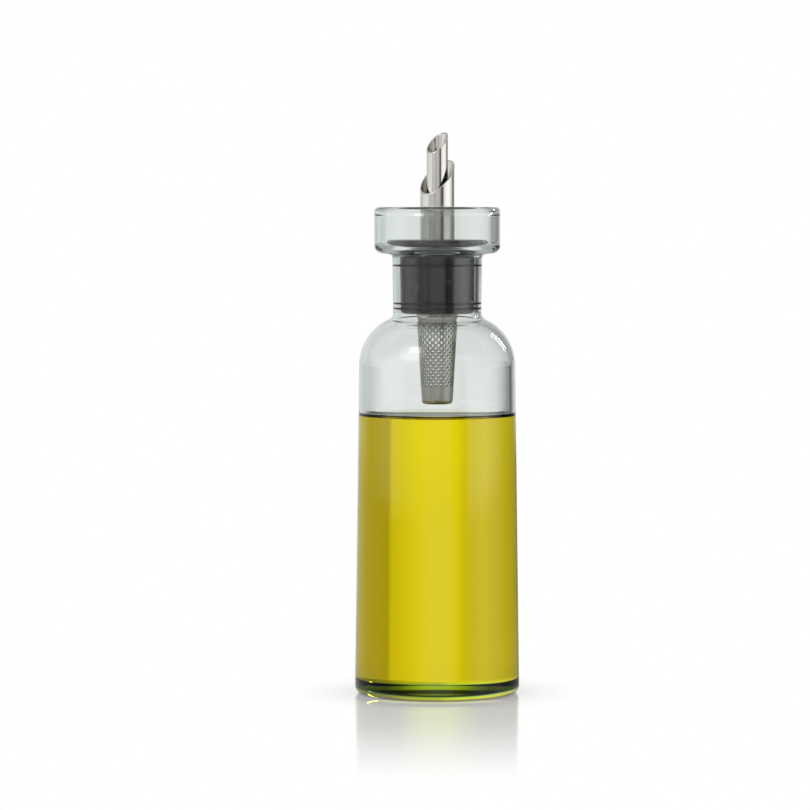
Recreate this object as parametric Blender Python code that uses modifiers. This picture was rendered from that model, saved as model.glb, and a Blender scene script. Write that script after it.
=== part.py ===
"""Oil dispenser: a glass bottle with a collar cup, and a two-tube pourer that lifts out of its neck.

Metres, +Z up. The origin is the middle of the face that the bottle stands on, and every turned
piece shares the Z axis. The inner tube pours. The outer tube catches what runs down it, and the
drips go back between the tubes, through the holder's flutes and the strainer, to the oil.
"""

import math

import bmesh
import bpy
from mathutils import Matrix, Vector

# Bottle body. Its corner radii are where the tapered wall meets the table and the shoulder's
# slope before any corner is rounded.
FOOT_RADIUS = 0.03095
SHOULDER_RADIUS = 0.02915
SHOULDER_HEIGHT = 0.1356
SHOULDER_SLOPE = 24.3
SHOULDER_ROUNDING = 0.019
FOOT_ROUNDING = 0.0028
BODY_WALL = 0.0022
FLOOR_THICKNESS = 0.0023
INNER_FOOT_ROUNDING = 0.003

# Domed hollow under the bottle, which leaves a flat ring to stand on. The floor follows the dome.
STANDING_RING_WIDTH = 0.0025
PUNT_DEPTH = 0.003

# Neck, from the corner where it meets the shoulder's slope up to the cup's underside.
NECK_BOTTOM_RADIUS = 0.01655
NECK_TOP_RADIUS = 0.01685
NECK_LENGTH = 0.02324
NECK_WALL = 0.0023
NECK_ROUNDING = 0.0026

# Collar cup on top of the neck, with a thick rounded rim.
CUP_RADIUS = 0.0236
CUP_HEIGHT = 0.018
CUP_WALL = 0.0029
CUP_FLOOR_THICKNESS = 0.0026
CUP_UNDERSIDE_SLOPE = 9.5
CUP_OUTER_ROUNDING = 0.003
CUP_INNER_ROUNDING = 0.002
CUP_NECK_ROUNDING = 0.001
MOUTH_ROUNDING = 0.0011
RIM_HEIGHT = 0.003
RIM_STEP = 0.0009

# Steel tubes. Each rises from the flange to a tip that is cut at a slant, low side to the front.
DRIP_TUBE_RADIUS = 0.00645
DRIP_TUBE_RISE = 0.0299
POURING_TUBE_RADIUS = 0.004
POURING_TUBE_RISE = 0.0403
TUBE_WALL = 0.0005
SLANT_ANGLE = 45.0
SLANT_HEADING = 48.0

# Silicone plug, with its flange on the cup's floor.
FLANGE_THICKNESS = 0.0028
FLANGE_EDGE_ROUNDING = 0.0011
FLANGE_UNDERCUT = 0.0018
PLUG_RECESS = 0.00114
PLUG_SKIN = 0.0022
PLUG_FOOT_WIDTH = 0.0038
LIP_THICKNESS = 0.0011
UPPER_LIP_DROP = 0.0067
LOWER_LIP_RISE = 0.0022
LIP_SPACING = 0.0019

# Stiff holder inside the plug, which carries both tubes and the strainer.
DRIP_TUBE_SEAT_DEPTH = 0.01
HOLDER_LEDGE = 0.0012
HOLDER_RIB_DROP = 0.0055
HOLDER_RIB_HEIGHT = 0.0024
HOLDER_RIB_REACH = 0.0013
STEM_WALL = 0.00105
STEM_LENGTH = 0.0073
FLUTE_COUNT = 4
FLUTE_WIDTH = 0.0024

# Strainer: a plain collar on the stem, a perforated taper and a plain closed foot.
STRAINER_WALL = 0.0004
STRAINER_COLLAR = 0.009
STRAINER_TAPER_LENGTH = 0.0337
STRAINER_FOOT_RADIUS = 0.00575
STRAINER_FOOT_ROUNDING = 0.0015
STRAINER_PLAIN_FOOT = 0.0072
HOLE_RADIUS = 0.0008
HOLE_CORNERS = 6
HOLES_AROUND = 16
HOLE_ROW_PITCH = 0.00228

# Gaps between pieces.
SEAT_GAP = 0.0003
FIT_GAP = 0.0003
LIP_GAP = 0.00013
PLUG_SIDE_GAP = 0.00055
FLANGE_SIDE_GAP = 0.0008
OIL_GAP = 0.0003
OIL_HEADROOM = 0.0042

# Fineness of the turned surfaces.
WIDE_SIDES = 36
NARROW_SIDES = 32
DOME_STEPS = 3
ARC_SAG = 0.00011
MERGE_DISTANCE = 0.00002

# Bottle heights above the table, and its inner radii.
slope_rise = math.tan(math.radians(SHOULDER_SLOPE))
neck_bottom = SHOULDER_HEIGHT + (SHOULDER_RADIUS - NECK_BOTTOM_RADIUS) * slope_rise
neck_top = neck_bottom + NECK_LENGTH
cup_floor = neck_top + CUP_FLOOR_THICKNESS
rim_top = neck_top + CUP_HEIGHT
ring_bore = FOOT_RADIUS - FOOT_ROUNDING - STANDING_RING_WIDTH
cup_bore = CUP_RADIUS - CUP_WALL
rim_bore = cup_bore - RIM_STEP

# Pourer heights, from the underside of its flange, which lies just over the cup's floor.
pourer_seat = cup_floor + SEAT_GAP
plug_foot = neck_bottom + PLUG_RECESS - pourer_seat
strainer_top = plug_foot + STRAINER_COLLAR
strainer_foot = plug_foot - STRAINER_TAPER_LENGTH
ledge = strainer_top
holder_step = ledge + FIT_GAP
stem_foot = holder_step - STEM_LENGTH
holder_top = FLANGE_THICKNESS - PLUG_SKIN - FIT_GAP
tube_seat = holder_top - DRIP_TUBE_SEAT_DEPTH
rib_top = holder_top - HOLDER_RIB_DROP
rib_foot = rib_top - HOLDER_RIB_HEIGHT

# Pourer radii, from the tubes outwards.
pouring_seat_radius = POURING_TUBE_RADIUS + FIT_GAP
drip_seat_radius = DRIP_TUBE_RADIUS + FIT_GAP
flute_radius = DRIP_TUBE_RADIUS - TUBE_WALL
stem_radius = flute_radius + STEM_WALL
strainer_radius = stem_radius + FIT_GAP + STRAINER_WALL
holder_radius = strainer_radius + FIT_GAP + HOLDER_LEDGE
rib_radius = holder_radius + HOLDER_RIB_REACH
flange_radius = rim_bore - FLANGE_SIDE_GAP


def body_bore(height):
    """Inner radius of the tapered body at a height above the table."""
    taper = (FOOT_RADIUS - SHOULDER_RADIUS) / SHOULDER_HEIGHT
    return FOOT_RADIUS - taper * height - BODY_WALL


def neck_bore(height):
    """Inner radius of the tapered neck at a height above the table."""
    share = (height - neck_bottom) / NECK_LENGTH
    return NECK_BOTTOM_RADIUS + (NECK_TOP_RADIUS - NECK_BOTTOM_RADIUS) * share - NECK_WALL


def dome(foot):
    """Points (radius, height) of the hollow's arc, from the axis to the standing ring at height foot."""
    arc_radius = (ring_bore ** 2 + PUNT_DEPTH ** 2) / (2 * PUNT_DEPTH)
    middle = foot + PUNT_DEPTH - arc_radius
    radii = [ring_bore * i / DOME_STEPS for i in range(DOME_STEPS + 1)]
    return [(radius, middle + math.sqrt(arc_radius ** 2 - radius ** 2)) for radius in radii]


def turning(before, corner, after):
    """Heading of an outline as it reaches a corner, and the angle by which it turns there."""
    heading = math.atan2(corner[1] - before[1], corner[0] - before[0])
    leaving = math.atan2(after[1] - corner[1], after[0] - corner[0])
    return heading, math.remainder(leaving - heading, math.tau)


def corner_arc(before, corner, after, rounding):
    """Arc of one radius that is tangent to both sides of a corner."""
    heading, turn = turning(before, corner, after)
    reach = rounding * math.tan(abs(turn) / 2)
    inward = heading + math.copysign(math.pi / 2, turn)
    centre_r = corner[0] - reach * math.cos(heading) + rounding * math.cos(inward)
    centre_z = corner[1] - reach * math.sin(heading) + rounding * math.sin(inward)
    steps = max(2, math.ceil(abs(turn) / (2 * math.acos(1 - min(ARC_SAG / rounding, 0.5)))))
    angles = [inward + math.pi + turn * i / steps for i in range(steps + 1)]
    return [(centre_r + rounding * math.cos(a), centre_z + rounding * math.sin(a)) for a in angles]


def outline(*corners):
    """Points (radius, height) of an outline whose corners are (radius, height, rounding).

    A corner without a third value stays sharp. Where two roundings don't both fit on the side
    between them, they share it.
    """
    points = [corner[:2] for corner in corners]
    roundings = [corner[2] if len(corner) > 2 else 0.0 for corner in corners]
    following = points[1:] + points[:1]
    turns = [turning(points[i - 1], points[i], following[i])[1] for i in range(len(points))]
    reaches = [rounding * math.tan(abs(turn) / 2) for rounding, turn in zip(roundings, turns)]
    made = []
    for i, point in enumerate(points):
        if not reaches[i]:
            made.append(point)
            continue
        next_reach = reaches[(i + 1) % len(points)]
        room_before = math.dist(points[i - 1], point) / (reaches[i - 1] + reaches[i])
        room_after = math.dist(point, following[i]) / (reaches[i] + next_reach)
        fitted = roundings[i] * min(1.0, room_before, room_after)
        made.extend(corner_arc(points[i - 1], point, following[i], fitted))
    return made


def material(name, colour, roughness, metallic=0.0, transmission=0.0):
    """Principled material of one plain finish."""
    made = bpy.data.materials.new(name)
    made.use_nodes = True
    made.diffuse_color = colour
    shader = made.node_tree.nodes["Principled BSDF"]
    shader.inputs["Base Color"].default_value = colour
    shader.inputs["Roughness"].default_value = roughness
    shader.inputs["Metallic"].default_value = metallic
    shader.inputs["Transmission Weight"].default_value = transmission
    return made


def new_collection(name):
    """Collection linked to the scene."""
    made = bpy.data.collections.new(name)
    bpy.context.scene.collection.children.link(made)
    return made


def new_object(name, mesh, collection, parent, height):
    """Object in a collection, at a height on its parent's axis."""
    made = bpy.data.objects.new(name, mesh)
    collection.objects.link(made)
    made.parent = parent
    made.location = (0.0, 0.0, height)
    return made


def turned(name, points, sides, finish, parent, height, ring=False):
    """Piece turned from an outline that runs down its outer side, or from a closed ring's."""
    mesh = bpy.data.meshes.new(name)
    edges = [(i, i + 1) for i in range(len(points) - 1)]
    if ring:
        edges.append((len(points) - 1, 0))
    mesh.from_pydata([(r, 0.0, z) for r, z in points], edges, [])
    mesh.materials.append(finish)
    piece = new_object(name, mesh, parts, parent, height)
    screw = piece.modifiers.new("turn", "SCREW")
    screw.steps = sides
    screw.render_steps = sides
    screw.use_merge_vertices = True
    screw.merge_threshold = MERGE_DISTANCE
    screw.use_smooth_shade = True
    return piece


def cut(piece, name, form):
    """Cut a bmesh form, in the piece's own coordinates, out of a piece."""
    mesh = bpy.data.meshes.new(name)
    form.to_mesh(mesh)
    form.free()
    cutter = new_object(name, mesh, cutters, piece, 0.0)
    cutter.hide_render = True
    cutter.display_type = "WIRE"
    boolean = piece.modifiers.new(name, "BOOLEAN")
    boolean.operation = "DIFFERENCE"
    boolean.solver = "EXACT"
    boolean.object = cutter


def make_bottle(finish):
    """Body, shoulder, neck and collar cup, blown as one piece of glass."""
    slope_wall = BODY_WALL / math.cos(math.radians(SHOULDER_SLOPE))
    shoulder_bore = body_bore(SHOULDER_HEIGHT)
    throat_bore = NECK_BOTTOM_RADIUS - NECK_WALL

    def slope_underside(radius):
        return SHOULDER_HEIGHT + (SHOULDER_RADIUS - radius) * slope_rise - slope_wall

    cup_corner = neck_top + (CUP_RADIUS - NECK_TOP_RADIUS) * math.tan(math.radians(CUP_UNDERSIDE_SLOPE))
    rim_rounding = (CUP_RADIUS - rim_bore) / 2
    rim_foot = rim_top - RIM_HEIGHT
    inside = [
        *dome(FLOOR_THICKNESS),
        (body_bore(FLOOR_THICKNESS), FLOOR_THICKNESS, INNER_FOOT_ROUNDING),
        (shoulder_bore, slope_underside(shoulder_bore), SHOULDER_ROUNDING - BODY_WALL),
        (throat_bore, slope_underside(throat_bore), NECK_ROUNDING + NECK_WALL),
        (neck_bore(cup_floor), cup_floor, MOUTH_ROUNDING),
        (cup_bore, cup_floor, CUP_INNER_ROUNDING),
        (cup_bore, rim_foot - RIM_STEP),
        (rim_bore, rim_foot),
    ]
    outside = [
        (rim_bore, rim_top, rim_rounding),
        (CUP_RADIUS, rim_top, rim_rounding),
        (CUP_RADIUS, cup_corner, CUP_OUTER_ROUNDING),
        (NECK_TOP_RADIUS, neck_top, CUP_NECK_ROUNDING),
        (NECK_BOTTOM_RADIUS, neck_bottom, NECK_ROUNDING),
        (SHOULDER_RADIUS, SHOULDER_HEIGHT, SHOULDER_ROUNDING),
        (FOOT_RADIUS, 0.0, FOOT_ROUNDING),
        *reversed(dome(0.0)),
    ]
    turned("glass_bottle", outline(*inside, *outside), WIDE_SIDES, finish, None, 0.0)


def make_oil(finish):
    """Olive oil that fills the body to just under the strainer."""
    level = pourer_seat + strainer_foot - OIL_HEADROOM
    floor = FLOOR_THICKNESS + OIL_GAP
    points = outline(
        (0.0, level),
        (body_bore(level) - OIL_GAP, level),
        (body_bore(floor) - OIL_GAP, floor, INNER_FOOT_ROUNDING),
        *reversed(dome(floor)),
    )
    turned("oil_fill", points, WIDE_SIDES, finish, None, 0.0)


def lip(height):
    """Corners of one sealing lip of the plug, at a height in the pourer, down its outer side."""
    bore = neck_bore(pourer_seat + height)
    root = bore - PLUG_SIDE_GAP
    tip = bore - LIP_GAP
    return [
        (root, height + LIP_THICKNESS / 2),
        (tip, height + LIP_THICKNESS / 4),
        (tip, height - LIP_THICKNESS / 4),
        (root, height - LIP_THICKNESS / 2),
    ]


def make_plug(finish, pourer):
    """Silicone plug: a flange, one lip near the top and two near the foot, moulded round the holder."""
    seat = holder_radius + FIT_GAP
    groove = rib_radius + FIT_GAP
    lower_bore = strainer_radius + FIT_GAP
    foot_side = neck_bore(neck_bottom) - PLUG_SIDE_GAP
    points = outline(
        (drip_seat_radius, FLANGE_THICKNESS),
        (flange_radius, FLANGE_THICKNESS, FLANGE_EDGE_ROUNDING),
        (flange_radius, FLANGE_THICKNESS - 2 * FLANGE_EDGE_ROUNDING, FLANGE_EDGE_ROUNDING),
        (flange_radius - FLANGE_UNDERCUT, 0.0),
        (neck_bore(pourer_seat) - PLUG_SIDE_GAP, 0.0),
        *lip(-UPPER_LIP_DROP),
        *lip(plug_foot + LOWER_LIP_RISE + LIP_SPACING),
        *lip(plug_foot + LOWER_LIP_RISE),
        (foot_side - PLUG_FOOT_WIDTH, plug_foot),
        (lower_bore, plug_foot),
        (lower_bore, ledge),
        (seat, ledge),
        (seat, rib_foot - FIT_GAP),
        (groove, rib_foot - FIT_GAP),
        (groove, rib_top + FIT_GAP),
        (seat, rib_top + FIT_GAP),
        (seat, holder_top + FIT_GAP),
        (drip_seat_radius, holder_top + FIT_GAP),
    )
    turned("stopper_plug", points, WIDE_SIDES, finish, pourer, 0.0, ring=True)


def make_holder(finish, pourer):
    """Holder: seat of the drip tube, fluted bore of the pouring tube and stem of the strainer."""
    points = outline(
        (drip_seat_radius, holder_top),
        (holder_radius, holder_top),
        (holder_radius, rib_top),
        (rib_radius, rib_top - HOLDER_RIB_REACH),
        (rib_radius, rib_foot),
        (holder_radius, rib_foot),
        (holder_radius, holder_step),
        (stem_radius, holder_step),
        (stem_radius, stem_foot),
        (pouring_seat_radius, stem_foot),
        (pouring_seat_radius, tube_seat),
        (drip_seat_radius, tube_seat),
    )
    holder = turned("spout_holder", points, NARROW_SIDES, finish, pourer, 0.0, ring=True)
    depth = flute_radius - POURING_TUBE_RADIUS / 2
    size = Vector((depth, FLUTE_WIDTH, holder_top - stem_foot))
    middle = Vector((flute_radius - depth / 2, 0.0, (tube_seat + stem_foot) / 2))
    flutes = bmesh.new()
    for i in range(FLUTE_COUNT):
        place = Matrix.Rotation(math.tau * i / FLUTE_COUNT, 4, "Z") @ Matrix.Translation(middle)
        bmesh.ops.create_cube(flutes, size=1.0, matrix=place @ Matrix.Diagonal(size.to_4d()))
    cut(holder, "flute_cutter", flutes)


def make_tube(name, radius, foot, rise, finish, pourer):
    """Steel tube from its foot in the holder to a tip that is cut off at a slant."""
    tip = FLANGE_THICKNESS + rise
    bore = radius - TUBE_WALL
    length = tip - foot
    points = outline((bore, length), (radius, length), (radius, 0.0), (bore, 0.0))
    tube = turned(name, points, NARROW_SIDES, finish, pourer, foot, ring=True)
    slant = math.radians(SLANT_ANGLE)
    block = 2 * length
    turn = Matrix.Rotation(math.radians(SLANT_HEADING), 4, "Z") @ Matrix.Rotation(-slant, 4, "Y")
    middle = Matrix.Translation((0.0, 0.0, length - radius * math.tan(slant)))
    place = middle @ turn @ Matrix.Translation((0.0, 0.0, block / 2))
    slanted = bmesh.new()
    bmesh.ops.create_cube(slanted, size=block, matrix=place)
    cut(tube, name + "_cutter", slanted)


def make_strainer(finish, pourer):
    """Perforated taper under a plain collar that grips the holder's stem."""
    taper_top = STRAINER_TAPER_LENGTH
    top = taper_top + STRAINER_COLLAR
    points = outline(
        (0.0, STRAINER_WALL),
        (STRAINER_FOOT_RADIUS - STRAINER_WALL, STRAINER_WALL, STRAINER_FOOT_ROUNDING - STRAINER_WALL),
        (strainer_radius - STRAINER_WALL, taper_top),
        (strainer_radius - STRAINER_WALL, top),
        (strainer_radius, top),
        (strainer_radius, taper_top),
        (STRAINER_FOOT_RADIUS, 0.0, STRAINER_FOOT_ROUNDING),
        (0.0, 0.0),
    )
    strainer = turned("strainer", points, HOLES_AROUND, finish, pourer, strainer_foot)
    holes = bmesh.new()
    rows = int((taper_top - HOLE_ROW_PITCH / 2 - STRAINER_PLAIN_FOOT) / HOLE_ROW_PITCH) + 1
    for row in range(rows):
        height = STRAINER_PLAIN_FOOT + row * HOLE_ROW_PITCH
        radius = STRAINER_FOOT_RADIUS + (strainer_radius - STRAINER_FOOT_RADIUS) * height / taper_top
        middle = Matrix.Translation((radius - STRAINER_WALL / 2, 0.0, height))
        for i in range(HOLES_AROUND):
            turn = Matrix.Rotation(math.tau * (i + (row % 2) / 2) / HOLES_AROUND, 4, "Z")
            bmesh.ops.create_cone(
                holes,
                cap_ends=True,
                segments=HOLE_CORNERS,
                radius1=HOLE_RADIUS,
                radius2=HOLE_RADIUS,
                depth=4 * STRAINER_WALL,
                matrix=turn @ middle @ Matrix.Rotation(math.pi / 2, 4, "Y"),
            )
    cut(strainer, "hole_cutter", holes)


for leftover in list(bpy.data.objects):
    bpy.data.objects.remove(leftover)
parts = new_collection("oil_dispenser")
cutters = new_collection("cutters")

glass = material("borosilicate_glass", (0.78, 0.86, 0.84, 1.0), 0.02, transmission=0.95)
oil = material("olive_oil", (0.72, 0.62, 0.03, 1.0), 0.05, transmission=0.8)
silicone = material("dark_grey_silicone", (0.055, 0.053, 0.053, 1.0), 0.5)
moulding = material("dark_moulded_plastic", (0.04, 0.04, 0.042, 1.0), 0.4)
steel = material("brushed_stainless_steel", (0.66, 0.65, 0.62, 1.0), 0.25, metallic=1.0)
sheet = material("perforated_stainless_sheet", (0.6, 0.59, 0.56, 1.0), 0.35, metallic=1.0)

pourer_origin = new_object("pourer_origin", None, parts, None, pourer_seat)
make_bottle(glass)
make_oil(oil)
make_plug(silicone, pourer_origin)
make_holder(moulding, pourer_origin)
make_tube("drip_tube", DRIP_TUBE_RADIUS, tube_seat + FIT_GAP, DRIP_TUBE_RISE, steel, pourer_origin)
make_tube("pouring_tube", POURING_TUBE_RADIUS, stem_foot, POURING_TUBE_RISE, steel, pourer_origin)
make_strainer(sheet, pourer_origin)
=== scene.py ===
"""Looks of an oil dispenser: glass, oil, stopper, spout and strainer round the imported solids.

Metres, +Z up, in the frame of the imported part, whose origin is the middle of the face that the
bottle stands on. Every piece is turned about Z with a finer profile than its solid has. The
strainer's perforations are laid out by a node tree on its plain sheet.
"""

import math
from functools import partial

import bmesh
import bpy
from mathutils import Matrix, Vector


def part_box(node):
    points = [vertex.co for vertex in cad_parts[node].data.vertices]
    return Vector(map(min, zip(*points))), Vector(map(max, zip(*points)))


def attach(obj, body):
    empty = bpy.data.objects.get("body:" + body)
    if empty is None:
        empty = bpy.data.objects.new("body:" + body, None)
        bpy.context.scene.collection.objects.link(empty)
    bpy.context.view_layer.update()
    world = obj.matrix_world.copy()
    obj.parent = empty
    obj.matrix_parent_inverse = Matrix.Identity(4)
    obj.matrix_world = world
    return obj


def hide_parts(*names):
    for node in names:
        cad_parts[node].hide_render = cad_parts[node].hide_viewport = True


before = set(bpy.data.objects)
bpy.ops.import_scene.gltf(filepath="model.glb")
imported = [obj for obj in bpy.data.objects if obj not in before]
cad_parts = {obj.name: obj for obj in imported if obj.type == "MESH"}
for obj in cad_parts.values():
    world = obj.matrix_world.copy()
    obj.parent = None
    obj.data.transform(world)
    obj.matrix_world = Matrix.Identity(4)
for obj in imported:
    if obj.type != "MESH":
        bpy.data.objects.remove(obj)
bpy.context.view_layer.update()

bl_info = {
    "name": "Oil Dispenser",
    "version": (1, 0, 0),
    "blender": (4, 5, 0),
    "location": "3D View > Sidebar > Oil Dispenser",
    "description": "Builds the glass, oil, stopper, spout and strainer round the packed solids",
    "category": "Object",
}


def span(node):
    """Lowest height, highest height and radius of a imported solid."""
    low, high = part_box(node)
    return low.z, high.z, high.x


_, OIL_LEVEL, _ = span("oil_fill")
PLUG_FOOT, PLUG_TOP, FLANGE_RADIUS = span("stopper_plug")
HOLDER_FOOT, HOLDER_TOP, RIB_RADIUS = span("spout_holder")
DRIP_FOOT, DRIP_TIP, DRIP_RADIUS = span("drip_tube")
POURING_FOOT, POURING_TIP, POURING_RADIUS = span("pouring_tube")
STRAINER_FOOT, STRAINER_TOP, STRAINER_RADIUS = span("strainer")

# Fineness of the turned surfaces: sides of the wide and narrow ones, and how an arc is cut.
WIDE_SIDES = 240
NARROW_SIDES = 144
TABLE_SIDES = 96
ARC_STEP = math.radians(5.0)
ARC_FINEST = math.radians(2.0)
ARC_PIECES = 4
ARC_SAG = 0.000012
DOME_PIECES = 30
BRACE = 0.0003
ON_AXIS = 1e-7
SMOOTH_ANGLE = math.radians(32.0)

# Small roundings of the moulded pieces, and a lip's thickness at its tip as a share of the root's.
FLANGE_EDGE = 0.0004
MOUTH_EDGE = 0.0003
HOLDER_EDGE = 0.0002
LIP_ROOT_EDGE = 0.0002
LIP_TIP_EDGE = 0.00008
LIP_TAPER = 0.6

# Points round one hole of the strainer and along a row's edge from hole to hole. Points closer
# than the weld become one.
HOLE_POINTS = 12
EDGE_POINTS = HOLE_POINTS // 2
WELD = 0.00001

# The oil's free surface stands this far below the solid's, whose edge doesn't climb the glass.
LEVEL_DROP = 0.0005

# Steps of the meniscus away from the glass, in its reach. Its height falls off as exp(-step).
CLIMB = (0.0, 0.06, 0.13, 0.22, 0.33, 0.46, 0.62, 0.82, 1.08, 1.4, 1.8, 2.3, 3.0, 4.0, 5.5)
CLIMB_END = 7.5

# Lowest upward part of the normal of a face that can be wetted, and of a face of the free surface.
UNDERSIDE = -0.2
FREE_SLOPE = 0.15

WHITE = (1.0, 1.0, 1.0, 1.0)

# Refraction. Where oil and glass touch, both faces have nearly none, and so light goes straight on.
GLASS_INDEX = 1.473
OIL_INDEX = 1.467
NO_INDEX = 1.0001


# Properties


def linear(colour):
    """Linear RGB of an sRGB hex colour."""
    channels = [int(colour[i:i + 2], 16) / 255 for i in (0, 2, 4)]
    return tuple(c / 12.92 if c <= 0.04045 else ((c + 0.055) / 1.055) ** 2.4 for c in channels)


def length(description, default):
    """Length that a user can change, in metres."""
    return partial(
        bpy.props.FloatProperty, description=description, default=default, min=0.0, precision=5,
        subtype="DISTANCE", unit="LENGTH",
    )


def angle(description, degrees):
    """Angle that a user can change."""
    return partial(
        bpy.props.FloatProperty, description=description, default=math.radians(degrees),
        subtype="ANGLE", unit="ROTATION",
    )


def count(description, default):
    """Whole number that a user can change."""
    return partial(bpy.props.IntProperty, description=description, default=default, min=1)


def colour(description, default):
    """Colour that a user can change, from sRGB hex."""
    return partial(
        bpy.props.FloatVectorProperty, description=description, default=linear(default), size=3,
        min=0.0, max=1.0, subtype="COLOR",
    )


def named(group):
    """Make the settings of a group. The name of each one is its attribute in words."""
    for attribute, make in group.__annotations__.items():
        group.__annotations__[attribute] = make(name=attribute.replace("_", " ").capitalize())
    return group


@named
class BottleSizes(bpy.types.PropertyGroup):
    foot_radius: length("Body wall where it meets the table", 0.03095)
    shoulder_radius: length("Body wall where it meets the shoulder", 0.02915)
    shoulder_height: length("Table to the shoulder's corner", 0.1356)
    shoulder_slope: angle("Rise of the shoulder towards the neck", 24.3)
    shoulder_rounding: length("Radius of the shoulder", 0.019)
    foot_rounding: length("Radius of the outer foot", 0.0028)
    body_wall: length("Glass thickness of the body", 0.0022)
    floor_thickness: length("Glass under the oil", 0.0023)
    inner_foot_rounding: length("Radius inside the foot", 0.003)
    ring_width: length("Flat ring that stands on the table", 0.0025)
    punt_depth: length("Domed hollow under the bottle, at its middle", 0.003)
    floor_rise: length("Rise of the glass floor's upper face, at its middle", 0.0016)
    neck_bottom_radius: length("Neck where it leaves the shoulder", 0.01655)
    neck_top_radius: length("Neck under the cup", 0.01685)
    neck_length: length("Shoulder to the cup's underside", 0.02324)
    neck_wall: length("Glass thickness of the neck", 0.0023)
    neck_rounding: length("Radius between shoulder and neck", 0.0026)
    cup_radius: length("Outside of the collar cup", 0.0236)
    cup_height: length("Neck top to the rim", 0.018)
    cup_wall: length("Glass thickness of the cup", 0.0029)
    cup_floor: length("Glass under the stopper's flange", 0.0026)
    cup_slope: angle("Rise of the cup's underside", 9.5)
    cup_rounding: length("Outer radius at the cup's foot", 0.003)
    cup_inner_rounding: length("Radius round the cup's floor", 0.002)
    cup_neck_rounding: length("Radius under the cup", 0.001)
    mouth_rounding: length("Radius where the cup's floor meets the bore", 0.0011)
    rim_height: length("Thick bead at the cup's top", 0.0022)
    rim_step: length("How far the bead stands in", 0.0003)


@named
class OilSizes(bpy.types.PropertyGroup):
    level: length("Free surface above the table", OIL_LEVEL - LEVEL_DROP)
    meniscus_rise: length("How far the oil climbs the glass", 0.0015)
    meniscus_reach: length("How fast the climb dies away from the glass", 0.0011)
    film_gap: length("Clearance between the oil's and the glass's surfaces", 0.00002)


@named
class StopperSizes(bpy.types.PropertyGroup):
    flange_thickness: length("Disc that lies in the cup", 0.0028)
    edge_rounding: length("Radius of the disc's edge", 0.0011)
    undercut: length("How far the disc's underside draws in", 0.0018)
    side_gap: length("Air between the plug and the neck", 0.00055)
    foot_taper: length("How far the plug's foot draws in", 0.0024)
    foot_rounding: length("Radius round the plug's foot", 0.0016)
    lip_thickness: length("Sealing lip at its root", 0.0011)
    lip_press: length("How far a lip is pressed into the neck's surface", 0.00004)
    upper_lip_drop: length("Flange underside to the upper lip", 0.0067)
    lower_lip_rise: length("Plug foot to the lowest lip", 0.0022)
    lip_spacing: length("Between the two lower lips", 0.0019)
    skin: length("Silicone over the holder", 0.0022)


@named
class SpoutSizes(bpy.types.PropertyGroup):
    tube_wall: length("Steel thickness of both tubes", 0.0005)
    edge: length("Break along the slanted cuts", 0.00007)
    slant: angle("Angle of the cut tips", 45.0)
    heading: angle("Where the tips' high sides point, from +X towards +Y", 48.0)
    fit_gap: length("Clearance round the tubes in the holder", 0.0003)
    ledge: length("Holder wall round the strainer's collar", 0.0012)
    rib_drop: length("Holder top to its rib", 0.0055)
    rib_height: length("Height of the rib that the plug grips", 0.0024)
    rib_reach: length("How far the rib stands out", 0.0013)
    stem_wall: length("Stem round the flutes", 0.00105)
    flutes: count("Drain slots round the pouring tube", 4)
    flute_width: length("Width of a drain slot", 0.0024)


@named
class StrainerSizes(bpy.types.PropertyGroup):
    wall: length("Perforated steel sheet", 0.0004)
    collar: length("Plain straight band under the holder", 0.009)
    foot_radius: length("Taper's end before its corner", 0.00575)
    foot_rounding: length("Radius of the closed foot", 0.0015)
    plain_foot: length("Foot to the first row of holes", 0.0072)
    hole: length("Punched hole", 0.00104)
    row_pitch: length("Between staggered rows", 0.001145)
    rows: count("Rows of holes", 25)
    around: count("Holes in one row", 19)


@named
class Finishes(bpy.types.PropertyGroup):
    glass_tint: colour("What 1 cm of glass lets through", "edfbf4")
    oil_tint: colour("What 2 mm of oil lets through", "fffee8")
    silicone: colour("Moulded stopper", "44403e")
    plastic: colour("Moulding inside the stopper", "2a2a2a")
    steel: colour("Drawn stainless tube", "d6d4ce")
    sheet: colour("Perforated stainless sheet", "dedbd3")


@named
class StudioSettings(bpy.types.PropertyGroup):
    camera_distance: length("Camera to the bottle's axis", 1.387)
    camera_height: length("Camera above the table", 0.184)
    camera_side: length("Camera to the left of the bottle", 0.01209)
    camera_pitch: angle("How far the camera looks down", 3.125)
    lens: partial(
        bpy.props.FloatProperty, description="Focal length on a 36 mm wide sensor", default=164.44,
        subtype="DISTANCE_CAMERA", unit="CAMERA",
    )
    floor_radius: length("Round table under the bottle", 0.6)
    floor_colour: colour("Pale table", "f8f8f6")


GROUPS = {
    "dispenser_bottle": BottleSizes,
    "dispenser_oil": OilSizes,
    "dispenser_stopper": StopperSizes,
    "dispenser_spout": SpoutSizes,
    "dispenser_strainer": StrainerSizes,
    "dispenser_finishes": Finishes,
    "dispenser_studio": StudioSettings,
}


# Turned shapes


def turning(before, corner, after):
    """Heading of an outline as it reaches a corner, and the angle by which it turns there."""
    heading = math.atan2(corner[1] - before[1], corner[0] - before[0])
    leaving = math.atan2(after[1] - corner[1], after[0] - corner[0])
    return heading, math.remainder(leaving - heading, math.tau)


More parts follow.
